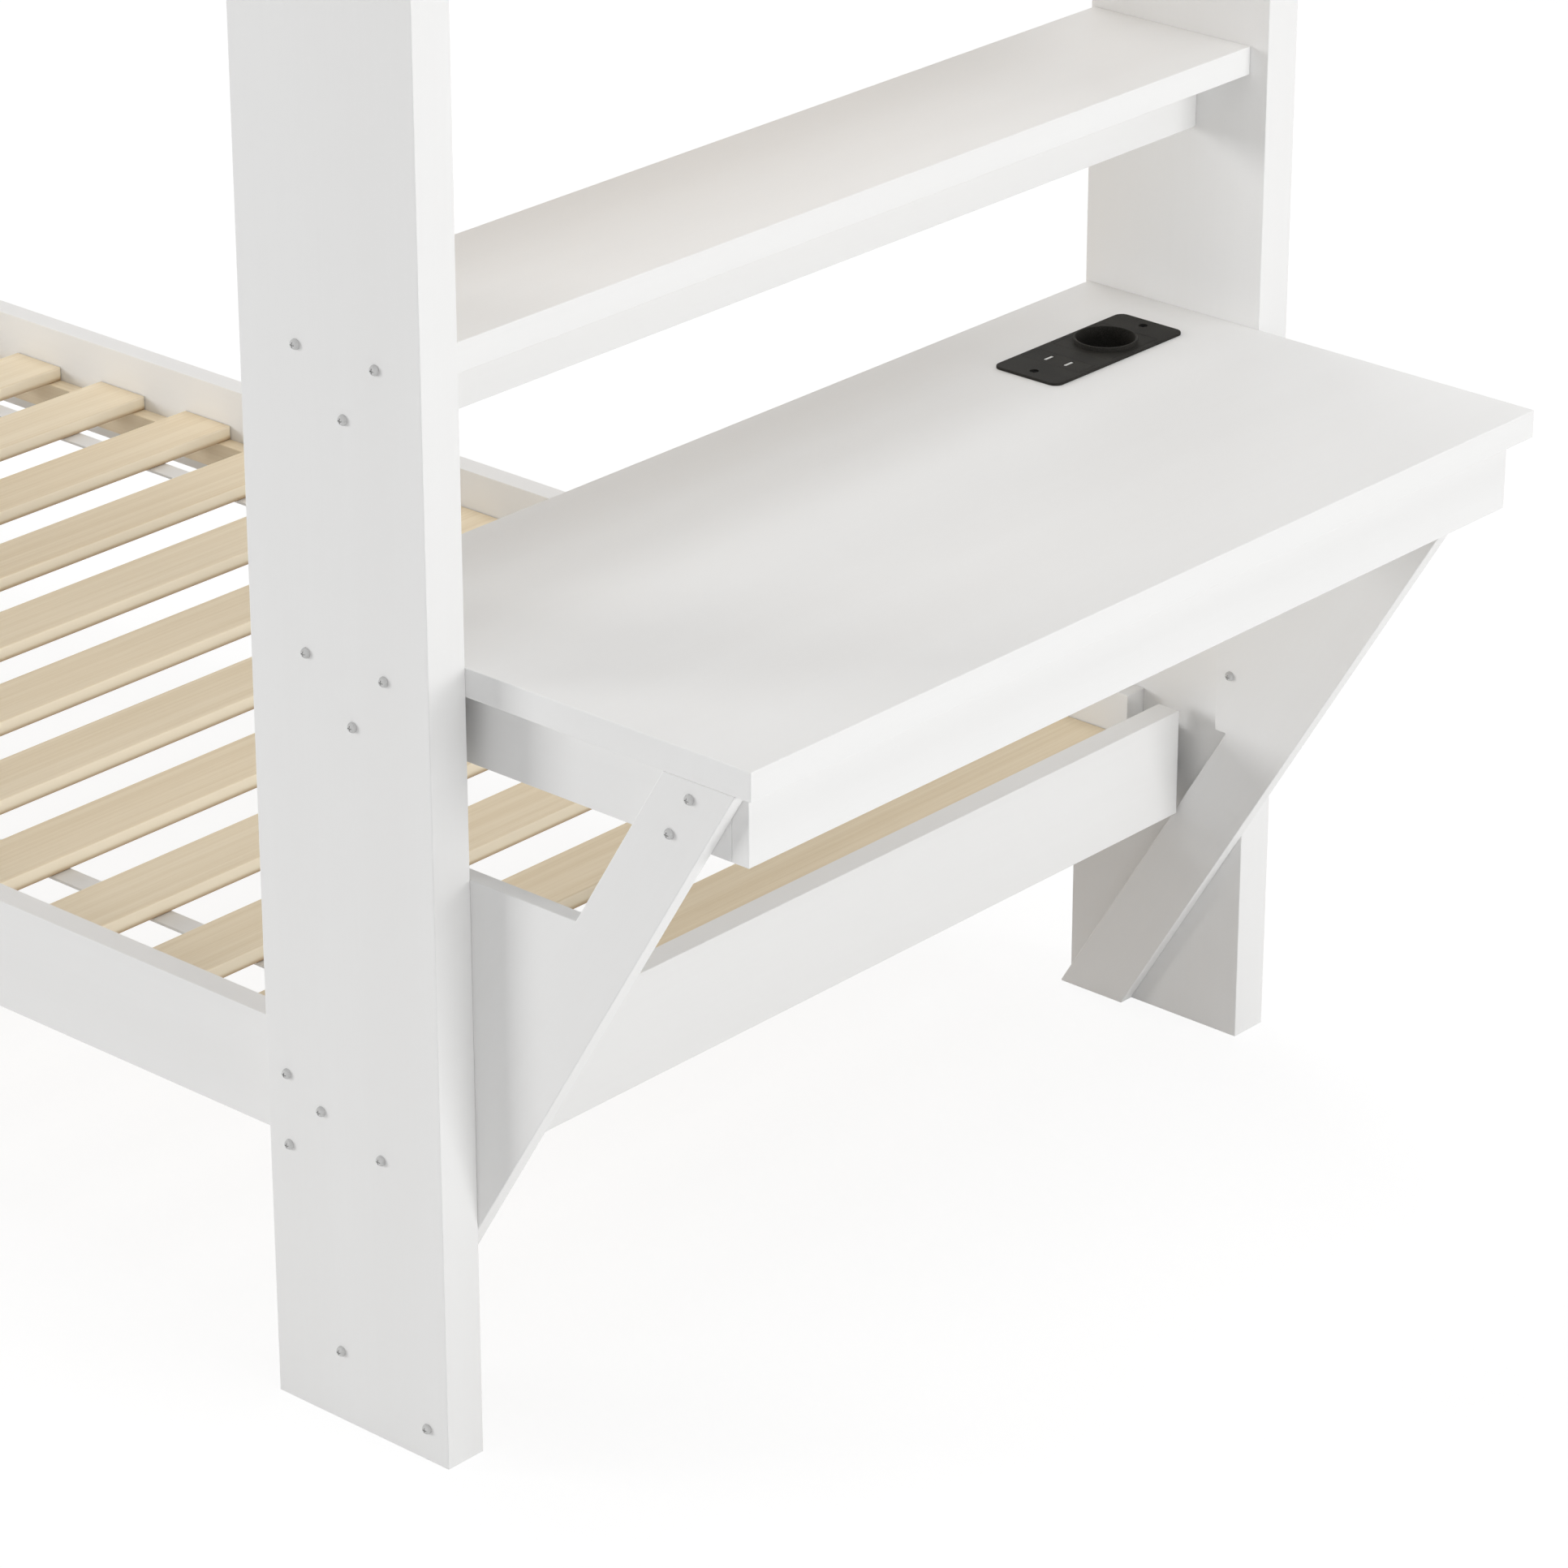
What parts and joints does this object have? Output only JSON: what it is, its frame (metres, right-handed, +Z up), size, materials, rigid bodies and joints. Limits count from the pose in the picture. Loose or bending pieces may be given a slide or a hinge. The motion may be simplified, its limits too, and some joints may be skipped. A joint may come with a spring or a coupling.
{
  "type": "loft bed",
  "caption": "Plank-post loft bed over a low slatted bed, with ladder and guard boards, and a braced desk with a power outlet and a shelf across the foot end.",
  "frame": {"origin": "on the floor, in the middle of the whole piece's length and width", "axes": "+X along the bed towards the desk at its foot end, +Y across the bed away from the ladder, +Z up"},
  "size_m": [2.389, 1.1328, 1.759],
  "materials": {
    "white_paint": "satin white paint",
    "pine": "bare sanded pine",
    "zinc_steel": "zinc plated",
    "black_steel": "black",
    "charcoal_plastic": "fine matte moulded",
    "white_plastic": "moulded"
  },
  "bodies": {
    "root": {"bracket_screws": "zinc_steel", "desk_back_rail": "white_paint", "desk_brace_far": "white_paint", "desk_brace_near": "white_paint", "desk_front_apron": "white_paint", "desk_side_apron_far": "white_paint", "desk_side_apron_near": "white_paint", "desk_top": "white_paint", "foot_post_far": "white_paint", "foot_post_near": "white_paint", "guard_far_high": "white_paint", "guard_far_low": "white_paint", "guard_foot_high": "white_paint", "guard_foot_low": "white_paint", "guard_head_high": "white_paint", "guard_head_low": "white_paint", "guard_near_high": "white_paint", "guard_near_low": "white_paint", "guard_upright": "white_paint", "head_post_far": "white_paint", "head_post_near": "white_paint", "joint_screws": "zinc_steel", "ladder_stile_foot": "white_paint", "ladder_stile_head": "white_paint", "ladder_tread_1": "white_paint", "ladder_tread_2": "white_paint", "ladder_tread_3": "white_paint", "ladder_tread_4": "white_paint", "ladder_tread_5": "white_paint", "long_screws": "zinc_steel", "lower_end_brackets": "zinc_steel", "lower_foot_rail": "white_paint", "lower_head_rail": "white_paint", "lower_side_rail_far": "white_paint", "lower_side_rail_near": "white_paint", "lower_slat_cleat_far": "pine", "lower_slat_cleat_near": "pine", "lower_slat_tie_far": "white_paint", "lower_slat_tie_near": "white_paint", "lower_slats": "pine", "outlet_plate": "charcoal_plastic", "outlet_screws": "black_steel", "outlet_socket": "charcoal_plastic", "outlet_tray": "charcoal_plastic", "shelf_board": "white_paint", "shelf_rail": "white_paint", "short_screws": "zinc_steel", "upper_end_brackets": "zinc_steel", "upper_foot_rail": "white_paint", "upper_head_rail": "white_paint", "upper_side_rail_far": "white_paint", "upper_side_rail_near": "white_paint", "upper_slat_cleat_far": "pine", "upper_slat_cleat_near": "pine", "upper_slat_tie_far": "white_paint", "upper_slat_tie_near": "white_paint", "upper_slats": "pine", "usb_insert": "charcoal_plastic", "usb_tongues": "white_plastic"}
  },
  "joints": []
}
